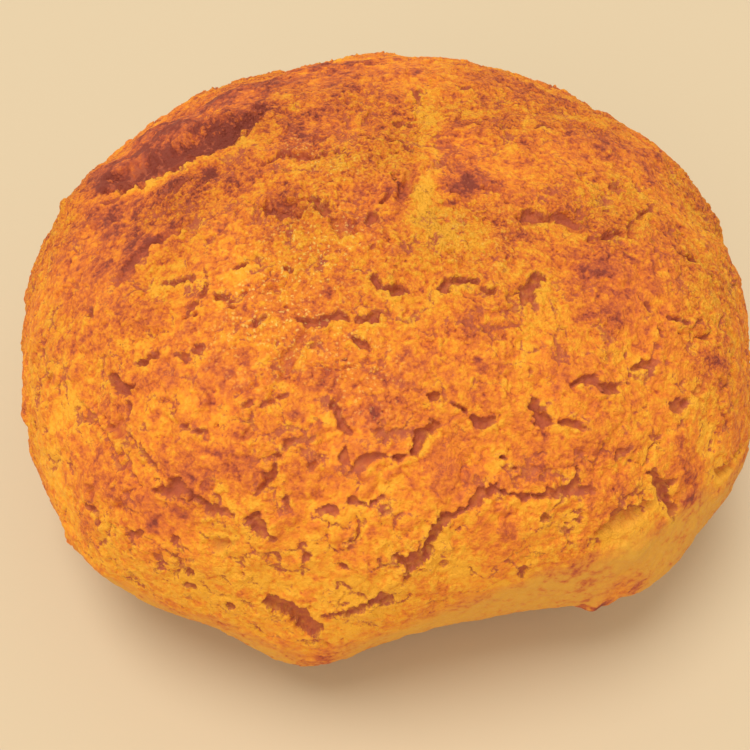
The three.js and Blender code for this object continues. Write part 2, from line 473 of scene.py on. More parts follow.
# Where the crust is browner (above 0) and paler (below 0): mostly what the oven browned and left pale, but
# the pale patches at the front are partly painted light that lifts the front, and the strips along the
# top-left valley are partly painted shade and highlight.
BROWNING_AND_LIGHT_PATCHES = (
    *equal_patches(7, 0.2, (40, 8), (-3, -44), (-36, -46)),
    *equal_patches(5, 0.4, (-37, -12.5), (-33, -6.5), (-4, -61), (-45, -18)),
    *equal_patches(5, -0.4, (-4, 17), (20, 6), (50, -18), (5, -76)),
    *equal_patches(4, 0.5, (-28, -1), (3, -12), (22, -17), (-33.5, -35.3), (12, -36), (9, -51)),
    *equal_patches(4, 0.4, (-21, -3), (-36, -3), (-23, -46), (-28, -49), (-3.7, -45), (-8.7, -40),
        (27, -18), (33, -46.5), (-28, -44.5), (-23, -6), (-13, -35), (11, -46), (-9, -34.5)),
    *equal_patches(4, 0.3, (17, -35), (28, -22), (-4, -53), (12.5, -57), (-23, -38), (6.5, -45), (44, -41),
        (34, -28)),
    *equal_patches(4, 0.25, (-9, -8), (48, -7), (49, -41)),
    *equal_patches(4, -0.3, (32, -40), (-30, 18), (26, 11), (41, -3.5), (-44, 2), (-29, 17)),
    *equal_patches(4, -0.4, (20, -34), (41, -4), (-7, -20.5), (1.5, -2), (-42, 10), (27, -42), (5, -75),
        (-6, -5)),
    *equal_patches(3.5, 0.4, (-28.5, -51), (-7.5, -51), (45, -61.5), (-27.5, -29)),
    *equal_patches(3, 0.4, (18, -57.5), (-40, 8), (-14, -69)),
    *equal_patches(3, 0.3, (30, -39), (52, -35), (-18, -51), (44, -56), (31, -54), (14, -59), (-35, -33),
        (47, -42)),
    Patch(30, 5, 12, 0.4), Patch(-28, 21, 10, 0.9), Patch(-8, 30, 10, 0.6), Patch(-54, -35, 10, -0.3),
    Patch(-37, 15, 9, 0.9), Patch(-18, -46, 9, 0.3), Patch(-56, -15, 9, -0.3), Patch(-33, -60, 9, -0.4),
    Patch(-2, -66, 9, -0.7), Patch(-15, 9, 8, 0.85), Patch(34, -24, 8, 0.6), Patch(-5, 14, 8, 0.5),
    Patch(16, 4, 8, 0.25), Patch(4, -36, 8, 0.2), Patch(-44, -56, 8, -0.4), Patch(-22, -62, 8, -0.5),
    Patch(-20, 30, 7, 0.7), Patch(-46, 9, 7, 0.6), Patch(-42, -5, 7, 0.5), Patch(20, -58, 7, -0.3),
    Patch(32, 5, 7, -0.3), Patch(50, -38, 7, -0.5), Patch(10, -61, 7, -0.6), Patch(-4, -14, 6, 0.5),
    Patch(45, -42, 6, 0.4), Patch(36, -9, 6, 0.2), Patch(-48, -21, 6, -0.1), Patch(50, 0, 6, -0.3),
    Patch(30, -2, 6, -0.35), Patch(42, -52, 6, -0.4), Patch(54, -7, 6, -0.4), Patch(-7, 2, 6, -0.5),
    Patch(13, -7, 5, 0.8), Patch(-17, -13, 5, 0.7), Patch(-25, 12, 5, 0.6), Patch(-36, -49, 5, 0.5),
    Patch(-43, -41, 5, 0.5), Patch(34, -53.5, 5, 0.35), Patch(-45, -2, 5, 0.3), Patch(24, -35, 5, 0.3),
    Patch(12, 3, 5, 0.2), Patch(31, -22, 5, 0.1), Patch(-22.5, -46, 5, 0.05), Patch(37, 3, 5, -0.3),
    Patch(-14.5, -20.5, 5, -0.6), Patch(37, -54, 5, -0.9), Patch(7, -10, 4.5, -0.8), Patch(-3, 36, 4, 0.8),
    Patch(22, -46, 4, 0.8), Patch(49, -45, 4, 0.2), Patch(36, -7, 4, -0.2), Patch(-6, 10, 4, -0.45),
    Patch(-24, 3, 4, -0.5), Patch(46, 9, 4, -0.5), Patch(33, -6, 4, -0.8), Patch(6, -18, 4, -0.9),
    Patch(29, -45, 3.5, 0.7), Patch(-36.5, -36, 3.5, 0.5), Patch(3, -43, 3.5, 0.5),
    Patch(17.5, -52, 3.5, 0.35), Patch(-13, -57, 3.5, 0.3), Patch(-12, -55, 3.5, 0.3),
    Patch(7, -20, 3.5, -0.4), Patch(8, -12, 3.5, -0.5), Patch(14, -19, 3.5, -0.5), Patch(8, 14, 3.5, -0.6),
    Patch(-34, 2.5, 3, 0.5), Patch(-12, -78, 3, 0.5), Patch(24, -38, 3, 0.35), Patch(14.5, -6.5, 3, 0.2),
    Patch(28, -55, 3, 0.2), Patch(-35, 12, 3, -0.3), Patch(-28, 17, 3, -0.5), Patch(12, 27, 3, -0.6),
    Patch(-16, 33, 3, -0.8), Patch(48, -61, 2.5, 0.3), Patch(43, -66, 2.4, 1.1),
    # The first three strips darken the top-left valley: partly what the oven browned, partly painted shade
    # under the ridge above it.
    *strip(3.4, 1.7, ((-22, 15), (-25.5, 10.5), (-30, 7.2), (-35, 5.2), (-40, 4.6), (-45, 6))),
    *strip(3.0, 1.0, ((-28, 6.5), (-32, 7.2), (-36, 8), (-40, 7.5), (-44, 9))),
    *strip(2.6, 1.3, ((-29, 7.6), (-33, 6.2), (-38, 5), (-43, 4.6), (-48, 6.5))),
    *strip(3.5, 0.5, ((-38, 14.5), (-45, 12.5), (-49, 11))),
    # This pale strip, and the one along the same edge further down, are partly pale torn crumb and partly a
    # painted highlight on the lit lip in front of the valley's torn edge.
    *strip(1.6, -0.7, ((-20.5, 12.8), (-24.5, 8.2), (-28.6, 4.4), (-33, 2.2), (-38, 1.0), (-43, 0.6))),
    *strip(3.0, 0.55, ((-23.5, 2.8), (-29, -1.2), (-35, -2.6), (-42, -2.8), (-48, -2))),
    *strip(2.2, 0.7, ((-31, -11.5), (-34, -13.5), (-37, -16.5), (-38.6, -19.8))),
    *strip(1.6, -0.8, ((-16, 15), (-18.5, 21), (-17, 27))),
    *strip(1.4, -0.7, ((12, -13), (14.5, -11), (17.5, -10))),
    *strip(1.3, -0.7, ((24, 10), (26.5, 15), (27, 21))),
    *strip(1.5, -0.6, ((-19.5, 11.2), (-21.2, 6.6), (-25.5, 2.6), (-30, 0.6), (-36, -0.8), (-42, -2))),
    *strip(2.2, -0.6, ((6, 21), (7.6, 13), (8.4, 4), (7.6, -7), (6.2, -17.5))),
    *strip(2.4, -0.6, ((-16, -4), (-10, -4.6), (-5, -5))),
)

# Where the crust is smooth (above 0) or crumbly.
SMOOTHED = (
    Patch(4, 28, 12, 0.5), Patch(-54, -12, 12, 0.5), Patch(30, 3, 10, 0.6), Patch(-50, -32, 10, 0.5),
    Patch(16, -54, 10, 0.3), Patch(-28, 23, 9, 1.0), Patch(50, -40, 9, 0.5), Patch(-38, 16, 8, 1.0),
    Patch(-8, 8, 7, 0.6), Patch(13, 4, 7, 0.6), Patch(-4, -50, 7, 0.4), Patch(-46, 12, 6, 0.8),
    Patch(-22, -40, 6, 0.5), Patch(33, -22, 6, 0.4), Patch(-33, 7, 5, -0.5), Patch(-36, -14, 4, 0.8),
)

# Where the crackled crust reaches down over the smooth flank.
CRUSTY = (
    Patch(-13, -75, 6, 1.1), Patch(44, -62, 4, 0.8),
)

# Where painted glints show on the crust's grains.
GLINT_PATCHES = (
    Patch(-16, -30, 9, 1.0), Patch(-14, -22, 8, 1.0), Patch(14, -18, 8, 0.5), Patch(-4, -38, 7, 0.7),
    Patch(-8, -4, 6, 0.9), Patch(-6, -20, 6, 0.8), Patch(-16, 2, 5, 0.6),
)

# Where the crust swells out (above 0) or sinks in, in millimetres.
SWELLINGS = (
    Patch(-26, 25, 8, 0.8), Patch(-36, 16, 8, 0.7), Patch(-33, -1, 5, 0.5), Patch(14, -57, 5, 0.4),
    Patch(38, -55, 4, 0.6), Patch(-24, 2, 4, 0.5), Patch(8, -53, 4, 0.5), Patch(30, -53, 4, 0.4),
    Patch(-52, 5, 3.5, 1.3), Patch(57.2, 8, 3.5, 0.9), Patch(-48, 11, 3.5, 0.7), Patch(41, -54, 3, 0.5),
    Patch(59, 1, 3, -0.7), Patch(-19, 43, 3, -1.0), Patch(45.2, -64.3, 2.0, 0.5), Patch(48, -61.2, 2.0, 0.2),
    Patch(42.5, -66.5, 1.9, 1.0),
)


def patched(flat: np.ndarray, patches: tuple[Patch, ...]) -> np.ndarray:
    """Adds up patches.

    Args:
        flat: rows of u and v, in millimetres.
        patches: what to add up.

    Returns:
        The patches' amount at each place.
    """
    total = np.zeros(len(flat))
    for patch in patches:
        away = np.hypot(flat[:, 0] - patch.u, flat[:, 1] - patch.v) / patch.reach
        total += patch.amount * np.exp(-PATCH_FALL * away**2)
    return total


@dataclass
class CrustSheet:
    """The crust laid out flat round its crown, and where each place on it is on the bun."""

    form: BVHTree
    heart: Vector
    scale: float = 47.0 * MM

    def place(self, u: float, v: float) -> Vector:
        """Finds a place of the sheet on the bun.

        Args:
            u: how far right of the crown, in millimetres.
            v: how far behind it.

        Returns:
            The point of the bun's smooth form there, in metres.
        """
        polar = math.hypot(u, v) * MM / self.scale
        around = math.atan2(v, u)
        flat = math.sin(polar)
        outward = Vector((flat * math.cos(around), flat * math.sin(around), math.cos(polar)))
        hit, *_ = self.form.ray_cast(self.heart, outward)
        return hit if hit else self.heart + outward * self.scale

    def flatten(self, places: np.ndarray) -> np.ndarray:
        """Lays places out on the sheet.

        Args:
            places: rows of x, y and z, in metres.

        Returns:
            Rows of u and v, in millimetres.
        """
        offset = places - np.array(self.heart)
        offset /= np.linalg.norm(offset, axis=1, keepdims=True)
        polar = np.arccos(np.clip(offset[:, 2], -1.0, 1.0))
        around = np.arctan2(offset[:, 1], offset[:, 0])
        reach = polar * self.scale / MM
        return np.stack([reach * np.cos(around), reach * np.sin(around)], axis=1)


@dataclass
class Breakage:
    """The crust's torn fissures, and where each place of the bun lies among them."""

    sheet: CrustSheet
    fissures: tuple[Fissure, ...]
    step: float = 0.3

    def samples(self, path: SheetPath) -> tuple[np.ndarray, np.ndarray]:
        """Walks along a fissure.

        Args:
            path: the fissure's way over the sheet.

        Returns:
            Points along it, on the bun, in millimetres, and which way is left at each.
        """
        knots = [self.sheet.place(u, v) / MM for u, v in path]
        points = []
        for start, end in zip(knots, knots[1:]):
            count = max(2, math.ceil((end - start).length / self.step))
            points += [start.lerp(end, n / count) for n in range(count)]
        line = np.array([tuple(p) for p in points + [knots[-1]]])
        onward = np.gradient(line, axis=0)
        left = np.cross(line - np.array(self.sheet.heart) / MM, onward)
        return line, left / np.linalg.norm(left, axis=1, keepdims=True)

    def nearest(self, places: np.ndarray, line: np.ndarray, left: np.ndarray) -> dict[str, np.ndarray]:
        """Finds the nearest point of a fissure's line.

        Args:
            places: rows of x, y and z, in millimetres.
            line: points along the fissure.
            left: which way is left at each.

        Returns:
            For each place: the gap to that point, its share of the line's length, how far the place is
            to the left of it and in front of it, and how wide the fissure swings there.
        """
        found = {name: np.zeros(len(places)) for name in ("along", "side", "ahead", "swing")}
        found["gap"] = np.full(len(places), 99.0)
        swings = 1.0 + 0.5 * Unevenness(37).layered(line, 2.6, 2)
        for index, (point, leftward) in enumerate(zip(line, left)):
            offset = places - point
            here = {
                "along": index / (len(line) - 1),
                "side": offset @ leftward,
                "ahead": -offset[:, 1],
                "swing": swings[index],
                "gap": np.linalg.norm(offset, axis=1),
            }
            closer = here["gap"] < found["gap"]
            found = {name: np.where(closer, here[name], found[name]) for name in found}
        return found

    def measure(self, places: np.ndarray, scallops: np.ndarray) -> dict[str, np.ndarray]:
        """Measures the fissures.

        Args:
            places: rows of x, y and z on the smooth form, in millimetres.
            scallops: how far the crust reaches into a fissure at each place, in millimetres.

        Returns:
            For each place: how deep it has sunk and how far it is from the nearest torn edge (below 0
            inside a fissure), both in millimetres, and how much it is in a soft hollow and on the
            curled lip in front of a fissure, both from 0 to 1.
        """
        sunk, hollow, lip = (np.zeros(len(places)) for _ in range(3))
        edge = np.full(len(places), 4.0)
        for fissure in self.fissures:
            kind = fissure.kind
            line, left = self.samples(fissure.path)
            margin = fissure.width + 2.5
            low, high = line.min(axis=0) - margin, line.max(axis=0) + margin
            near = np.flatnonzero(((places > low) & (places < high)).all(axis=1))
            if not len(near):
                continue
            found = self.nearest(places[near], line, left)
            taper = np.clip(4.0 * found["along"] * (1.0 - found["along"]) + 0.15, 0.0, 1.0) ** 0.65
            half = 0.33 * fissure.width * taper * found["swing"]
            reach = found["gap"] - half + scallops[near] * np.minimum(1.0, 0.4 + half)
            ease = 0.5 * kind.softness * (0.35 + half)
            if kind is Break.OVERHANG:
                sloping = smooth_step(-found["side"], -0.1, 0.35)
                ease = ease + sloping * (0.5 + 0.8 * half)
                edge[near] = np.minimum(edge[near], reach + 6.0 * sloping)
            inside = 1.0 - smooth_step(reach, -ease, ease)
            depth = kind.depth(fissure.width) * (0.55 + 0.45 * taper) * inside
            sunk[near] = np.maximum(sunk[near], depth)
            if kind in (Break.CRACK, Break.HAIRLINE):
                edge[near] = np.minimum(edge[near], reach)
            elif kind is not Break.VALLEY:
                hollow[near] = np.maximum(hollow[near], inside)
            curl = np.exp(-(((reach - 0.6) / 0.6) ** 2)) * smooth_step(found["ahead"], 0.0, 0.5)
            lip[near] = np.maximum(lip[near], curl * taper * min(1.0, fissure.width / 2.2))
        return {"sunk": sunk, "edge": edge, "hollow": hollow, "lip": lip}


@dataclass
class Opening:
    """One kind of small break: its depth at each place, and how far each place is from its edge."""

    depth: np.ndarray
    edge: np.ndarray


@dataclass
class CrustRelief:
    """The crust's whole relief: its plates, flakes, fissures, crumbs and pits, in millimetres.

    Each sheet of flakes has a seed, its flakes' size and their thickness.
    """

    breakage: Breakage
    hem_height: float = 9.5
    crust_thickness: float = 0.2
    bed: float = 2.9
    top: float = 2.2
    lump_size: float = 1.9
    grit_size: float = 0.95
    plate_size: float = 6.5
    plate_rise: float = 0.75
    pit_spacing: float = 2.6
    pit_depth: float = 0.5
    pit_share: float = 0.38
    fine_size: float = 3.2
    lip_rise: float = 0.22
    swell_rise: float = 0.4
    flank_height: float = 16.5
    front_flank_rise: float = 12.0
    flake_sheets: tuple[tuple[int, float, float], ...] = (
        (131, 11.0, 0.2),
        (137, 7.0, 0.17),
        (139, 4.5, 0.13),
    )

    def flank(self, places: np.ndarray) -> np.ndarray:
        """Tells how much each place lies on the bun's smooth flank.

        Args:
            places: rows of x, y and z, in millimetres.

        Returns:
            From 0 on the crackled crust to 1 on the flank.
        """
        around = np.degrees(np.arctan2(places[:, 1], places[:, 0]))
        rise = self.front_flank_rise * np.exp(-((around + 53.0) / 32.0) ** 2)
        line = self.flank_height + rise + 2.2 * Unevenness(29).layered(places, 8.0, 3)
        return 1.0 - smooth_step(places[:, 2] - line, -2.5, 3.5)

    def flakes(self, places: np.ndarray) -> tuple[np.ndarray, np.ndarray]:
        """Lays thin flakes over each other.

        Args:
            places: rows of x, y and z on the smooth form, in millimetres.

        Returns:
            For each place, the height of the flakes on it, in millimetres, and how much darker they are
            coloured: a flake has its own colour, a painted highlight along its rim and a painted shadow line
                under its edge.
        """
        height = np.full(len(places), -0.25)
        tone = np.zeros(len(places))
        for seed, size, thickness in self.flake_sheets:
            cover = Unevenness(seed).layered(places, size, 4, 0.55)
            lies = smooth_step(cover, -0.03, 0.04)
            height += thickness * lies
            # Each flake's own colour, with a painted highlight just inside its rim and a painted shadow line
            # just outside it, under its edge.
            tone += 0.12 * (lies - 0.5) - 0.1 * np.exp(-(((cover - 0.08) / 0.07) ** 2))
            tone += 0.22 * np.exp(-(((cover + 0.04) / 0.035) ** 2))
        return height, tone

    def seams(
        self, border: np.ndarray, openness: np.ndarray, crumb: np.ndarray, flank: np.ndarray
    ) -> Opening:
        """Opens the seams between plates.

        Args:
            border: how far each place is from its plate's border, in millimetres.
            openness: how far the seams gape there, from about -1 to 1.
            crumb: how high the crumbs stand there, from 0 to 1.
            flank: how much of it is flank, from 0 to 1.

        Returns:
            The seams.
        """
        half = np.clip(0.5 * openness - 0.15, -0.3, 0.22) - 0.5 * flank
        edge = border - half - 0.3 * (crumb - 0.4)
        depth = (1.0 - smooth_step(edge, -0.15, 0.2)) * np.clip(0.35 + 0.9 * half, 0.0, 0.8)
        return Opening(depth, edge + 0.12)

    def pits(
        self, places: np.ndarray, openness: np.ndarray, grit: np.ndarray, flank: np.ndarray
    ) -> Opening:
        """Sinks small pits, one in each of a share of the grains.

        Args:
            places: rows of x, y and z, in millimetres.
            openness: how large the pits grow there, from about -1 to 1.
            grit: how high the fine grit stands there, from 0 to 1.
            flank: how much of it is flank, from 0 to 1.

        Returns:
            The pits.
        """
        core, _, own = Grains(67, self.pit_spacing).around(places)
        holed = own > 1.0 - self.pit_share
        size = np.where(holed, 0.75 * (own - 0.55) * (1.2 + openness), 0.0)
        edge = np.where(holed, core - size + 0.3 * (grit - 0.4), 1.0)
        depth = self.pit_depth * (1.0 - smooth_step(edge, -0.15, 0.15)) * (1.0 - flank)
        return Opening(depth, edge + 0.1)

    def fine_cracks(self, places: np.ndarray, jagged: np.ndarray, flank: np.ndarray) -> Opening:
        """Opens fine jagged cracks here and there.

        Args:
            places: rows of x, y and z, in millimetres.
            jagged: the same places, pushed about at the scale of crumbs.
            flank: how much of it is flank, from 0 to 1.

        Returns:
            The cracks.
        """
        _, border, _ = Grains(103, self.fine_size).around(jagged)
        half = np.clip(0.42 * Unevenness(107).layered(places, 3.6, 2) - 0.1, -0.4, 0.12) - 0.5 * flank
        edge = border - half
        depth = (1.0 - smooth_step(edge, -0.12, 0.14)) * np.clip(0.2 + 0.9 * half, 0.0, 0.4)
        return Opening(depth, edge + 0.08)

    def measure(self, places: np.ndarray) -> dict[str, np.ndarray]:
        """Measures the relief.

        Args:
            places: rows of x, y and z on the smooth form, in millimetres.

        Returns:
            By name, one number for each place: its height over the form and its dome (1 on the crust
            and 0 under it), in millimetres and shares, and what the finish follows.
        """
        wander = 0.9 * Unevenness(11).drift(places, 3.1) + 0.35 * Unevenness(23).drift(places, 1.1)
        jagged = places + 0.5 * wander + 0.3 * Unevenness(101).drift(places, 0.7)
        flat = self.breakage.sheet.flatten(places * MM)

        hem = self.hem_height + 1.3 * Unevenness(31).at(places, 9.0) + 0.6 * wander[:, 2]
        dome = smooth_step(places[:, 2] - hem, -0.45, 0.45)
        base = smooth_step(places[:, 2], 0.3, 3.0)
        flank = self.flank(places) * (1.0 - np.clip(patched(flat, CRUSTY), 0.0, 0.9))

        lump_core, _, _ = Grains(43, self.lump_size).around(places + wander)
        grit_core, _, _ = Grains(47, self.grit_size).around(places + 0.3 * wander)
        lumps = 1.0 - np.minimum(1.0, lump_core / 1.2) ** 2
        grit = 1.0 - np.minimum(1.0, grit_core / 0.62) ** 2
        crumb = 0.5 * lumps + 0.5 * grit

        scallops = 0.1 + 0.5 * (lumps - 0.45) + 0.25 * (grit - 0.45)
        scallops += 0.5 * Unevenness(109).layered(places, 1.7, 3, 0.6)
        breaks = self.breakage.measure(places + 0.35 * wander, scallops)

        _, border, own = Grains(53, self.plate_size).around(places + 1.7 * wander)
        openness = Unevenness(59).layered(places, 6.0, 2)
        openings = (
            self.seams(border, openness, crumb, flank),
            self.pits(places + 0.5 * wander, openness, grit, flank),
            self.fine_cracks(places, jagged, flank),
        )
        broken = np.maximum.reduce([breaks["sunk"], *(opening.depth for opening in openings)])
        small_edge = np.minimum.reduce([opening.edge for opening in openings]) + 2.0 * flank
        edge = np.minimum(breaks["edge"], small_edge)
        floor = 1.0 - smooth_step(edge, -0.25, 0.1)

        smoothed = np.maximum(0.85 * flank, np.clip(patched(flat, SMOOTHED), 0.0, 0.9))
        back = flat[:, 1]
        sugary = 0.35 + 0.65 * smooth_step(back, -42.0, -12.0) * (1.0 - 0.5 * smooth_step(back, 5.0, 35.0))
        rough = 0.4 + 0.6 * smooth_step(Unevenness(83).at(places, 15.0), -0.5, 0.3)
        rough = rough * (1.0 - smoothed) * sugary
        crumbly = rough + 0.8 * (1.0 - smoothed) * np.exp(-np.maximum(breaks["edge"], 0.0) / 0.9)
        crumbs = crumbly * (0.24 * lumps + 0.18 * grit + 0.1 * Unevenness(89).at(places, 0.8))

        flakes, tone = self.flakes(jagged)
        plate = (own - 0.5) * self.plate_rise * smooth_step(border, 0.0, 1.1) * (1.0 - flank)
        swell = self.swell_rise * Unevenness(41).layered(places, 12.0, 3) * (1.0 - 0.5 * flank)
        swell += patched(flat, SWELLINGS)
        raised = self.crust_thickness + plate + swell + flakes * (1.0 - 0.6 * flank)
        raised += self.lip_rise * breaks["lip"]
        height = dome * (raised + crumbs * (1.0 - 0.75 * floor) - broken)
        height += dome * flank * 0.13 * Unevenness(113).layered(places, 2.4, 3)
        height += (1.0 - dome) * base * (0.12 * Unevenness(97).layered(places, 6.0, 3) - 0.1)
        return {
            "height": height,
            "dome": dome,
            "base": base,
            "edge": np.clip(edge, -1.0, 4.0),
            "hollow": breaks["hollow"],
            "lip": breaks["lip"],
            "crumb": crumb,
            "plate": own,
            "tone": tone * (1.0 - 0.5 * flank),
            "flank": flank,
            "rough": rough,
        }


# ---------------------------------------------------------------- the bun


@dataclass
class PineappleBun:
    """The whole bun, crust and crumb in one baked piece."""

    node: str = "bun"
    name: str = "baked_bun"
    heart_height: float = 20.0 * MM
    ball_radius: float = 90.0 * MM
    detail: int = 9
    quick_detail: int = 8
    slices: int = 6
    base_share: float = 0.05
    weight_steps: int = 2000

    def build(self) -> list[bpy.types.Object]:
        """Models the bun and returns its finished slices."""
        self.form = self.smooth_form()
        self.tree = BVHTree.FromObject(self.form, bpy.context.evaluated_depsgraph_get())
        self.sheet = CrustSheet(self.tree, Vector((0, 0, self.heart_height)))
        self.relief = CrustRelief(Breakage(self.sheet, FISSURES))
        bun = self.rough_out()
        places = vertex_places(bun.data) / MM
        relief = self.relief.measure(places)
        self.mark(bun, places, relief)
        self.raise_crust(bun, relief)
        self.thin_base(bun)
        bpy.data.objects.remove(self.form)
        return self.slice_up(bun)

    def smooth_form(self) -> bpy.types.Object:
        """A copy of the CAD solid with its facets rounded off."""
        deselect_all()
        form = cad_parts[self.node].copy()
        form.data = form.data.copy()
        bpy.context.scene.collection.objects.link(form)
        form.parent = None
        form.hide_render = True
        make_active(form)
        bpy.ops.object.mode_set(mode="EDIT")
        bpy.ops.mesh.select_all(action="SELECT")
        bpy.ops.mesh.remove_doubles(threshold=0.00001)
        bpy.ops.mesh.tris_convert_to_quads()
        bpy.ops.object.mode_set(mode="OBJECT")
        rounding = form.modifiers.new("rounding", "SUBSURF")
        rounding.levels = rounding.render_levels = 2
        finish_modifier(form, rounding)
        return form

    def rough_out(self) -> bpy.types.Object:
        """A fine ball round the heart, drawn straight in on to the smooth form."""
        deselect_all()
        detail = self.detail
        heart = self.sheet.heart
        bpy.ops.mesh.primitive_ico_sphere_add(subdivisions=detail, radius=self.ball_radius, location=heart)
        bun = bpy.context.object
        bun.name = bun.data.name = self.name
        bpy.ops.object.transform_apply(location=True, rotation=True, scale=True)
        wrap = bun.modifiers.new("wrap", "SHRINKWRAP")
        wrap.target = self.form
        wrap.wrap_method = "PROJECT"
        wrap.use_positive_direction = False
        wrap.use_negative_direction = True
        finish_modifier(bun, wrap)
        return bun

    def displace(self, bun: bpy.types.Object, name: str, height: float, weights: np.ndarray) -> None:
        """Moves the surface along its normals.

        Args:
            bun: the whole bun.
            name: what the step is called.
            height: how far a weight of 1 moves, in millimetres.
            weights: one for each vertex, from 0 to 1.
        """
        group = bun.vertex_groups.new(name=name)
        levels = np.rint(weights * self.weight_steps).astype(int)
        order = np.argsort(levels, kind="stable")
        starts = np.flatnonzero(np.diff(levels[order], prepend=-1))
        for members in np.split(order, starts[1:]):
            level = levels[members[0]]
            if level > 0:
                group.add(members.tolist(), level / self.weight_steps, "REPLACE")
        push = bun.modifiers.new(name, "DISPLACE")
        push.vertex_group = name
        push.mid_level = 0.0
        push.strength = height * MM
        finish_modifier(bun, push)

    def raise_crust(self, bun: bpy.types.Object, relief: dict[str, np.ndarray]) -> None:
        """Beds the surface down, and then raises the crust's whole relief in one piece.

        Args:
            bun: the whole bun.
            relief: what CrustRelief measured at its vertices.
        """
        bed, whole = self.relief.bed, self.relief.bed + self.relief.top
        settled = relief["base"]
        self.displace(bun, "bed", -bed, settled)
        self.displace(bun, "relief", whole, np.clip(relief["height"] + bed * settled, 0.0, whole) / whole)

    def thin_base(self, bun: bpy.types.Object) -> None:
        """Takes out the triangles that the flat underside doesn't need, and shades the bun smooth.

        Args:
            bun: the whole bun.
        """
        flat = np.flatnonzero(vertex_places(bun.data)[:, 2] < 0.2 * MM)
        bun.vertex_groups.new(name="base").add(flat.tolist(), 1.0, "REPLACE")
        thin = bun.modifiers.new("thin", "DECIMATE")
        thin.vertex_group = "base"
        thin.ratio = 1.0 - (1.0 - self.base_share) * 2 * len(flat) / len(bun.data.polygons)
        finish_modifier(bun, thin)
        bun.vertex_groups.clear()
        make_active(bun)
        bpy.ops.object.shade_smooth()

    def slice_up(self, bun: bpy.types.Object) -> list[bpy.types.Object]:
        """Cuts the bun like a cake, each slice small enough for one mesh.

        Args:
            bun: the whole bun.

        Returns:
            The slices, shaded as one surface, so that no cut shows.
        """
        mesh = bun.data
        normals = np.empty(len(mesh.vertices) * 3, np.float32)
        mesh.vertices.foreach_get("normal", normals)
        mesh.attributes.new("outward", "FLOAT_VECTOR", "POINT").data.foreach_set("vector", normals)
        centres = np.empty(len(mesh.polygons) * 3, np.float32)
        mesh.polygons.foreach_get("center", centres)
        turns = np.arctan2(centres[1::3], centres[::3]) / (2 * math.pi) + 0.5
        for _ in range(self.slices):
            mesh.materials.append(None)
        numbers = np.minimum(turns * self.slices, self.slices - 1).astype(np.int32)
        mesh.polygons.foreach_set("material_index", numbers)
        make_active(bun)
        bpy.ops.mesh.separate(type="MATERIAL")
        slices = sorted(bpy.context.selected_objects, key=lambda piece: piece.name)
        for number, piece in enumerate(slices, 1):
            piece.name = piece.data.name = f"{self.name}_slice_{number}"
            outward = np.empty(len(piece.data.vertices) * 3, np.float32)
            piece.data.attributes["outward"].data.foreach_get("vector", outward)
            piece.data.attributes.remove(piece.data.attributes["outward"])
            piece.data.normals_split_custom_set_from_vertices(outward.reshape(-1, 3))
            piece.data.materials.clear()
        return slices

    def mark(self, bun: bpy.types.Object, places: np.ndarray, relief: dict[str, np.ndarray]) -> None:
        """Stores on the mesh what the finish follows: gaps, torn edges, crumbs, the painted glints' patches,
        and how brown each place is, with painted light added in.

        Args:
            bun: the whole bun.
            places: its vertices on the smooth form, in millimetres.
            relief: what CrustRelief measured there.
        """
        flat = self.sheet.flatten(places * MM)
        wander = 1.8 * Unevenness(71).drift(places, 6.0) + 0.7 * Unevenness(73).drift(places, 2.0)
        flat += wander[:, :2]
        # Browner towards the back and paler towards the front: partly what the oven browned, partly painted
        # light that brightens the front, which the lamp behind lights less.
        browning = 0.515 + 0.16 * smooth_step(flat[:, 1], -55.0, 10.0)
        browning += 0.46 * patched(flat, BROWNING_AND_LIGHT_PATCHES)
        # Each plate's own colour, and the flakes' colour with its painted rim highlights and shadow lines.
        browning += 0.12 * (relief["plate"] - 0.5) + relief["tone"]
        browning += 0.2 * (smooth_step(relief["edge"], 0.0, 2.4) - 0.55)
        # Lips in front of the fissures are made paler: a painted highlight where they tilt up towards the
        # lamp behind. The flank's paleness is its own colour.
        browning -= 0.3 * relief["lip"] + 0.12 * relief["flank"]
        self.store(bun, "browning", browning)
        self.store(bun, "sugared", np.clip(patched(flat, GLINT_PATCHES), 0.0, 1.0))
        self.store(bun, "under", 1.0 - relief["dome"])
        for name in ("edge", "hollow", "crumb", "flank", "rough"):
            self.store(bun, name, relief[name])

    def store(self, bun: bpy.types.Object, name: str, values: np.ndarray) -> None:
        """Stores one number for each vertex as an attribute of the mesh."""
        attribute = bun.data.attributes.new(name, "FLOAT", "POINT")
        attribute.data.foreach_set("value", values.astype(np.float32))

# ---------------------------------------------------------------- finishes


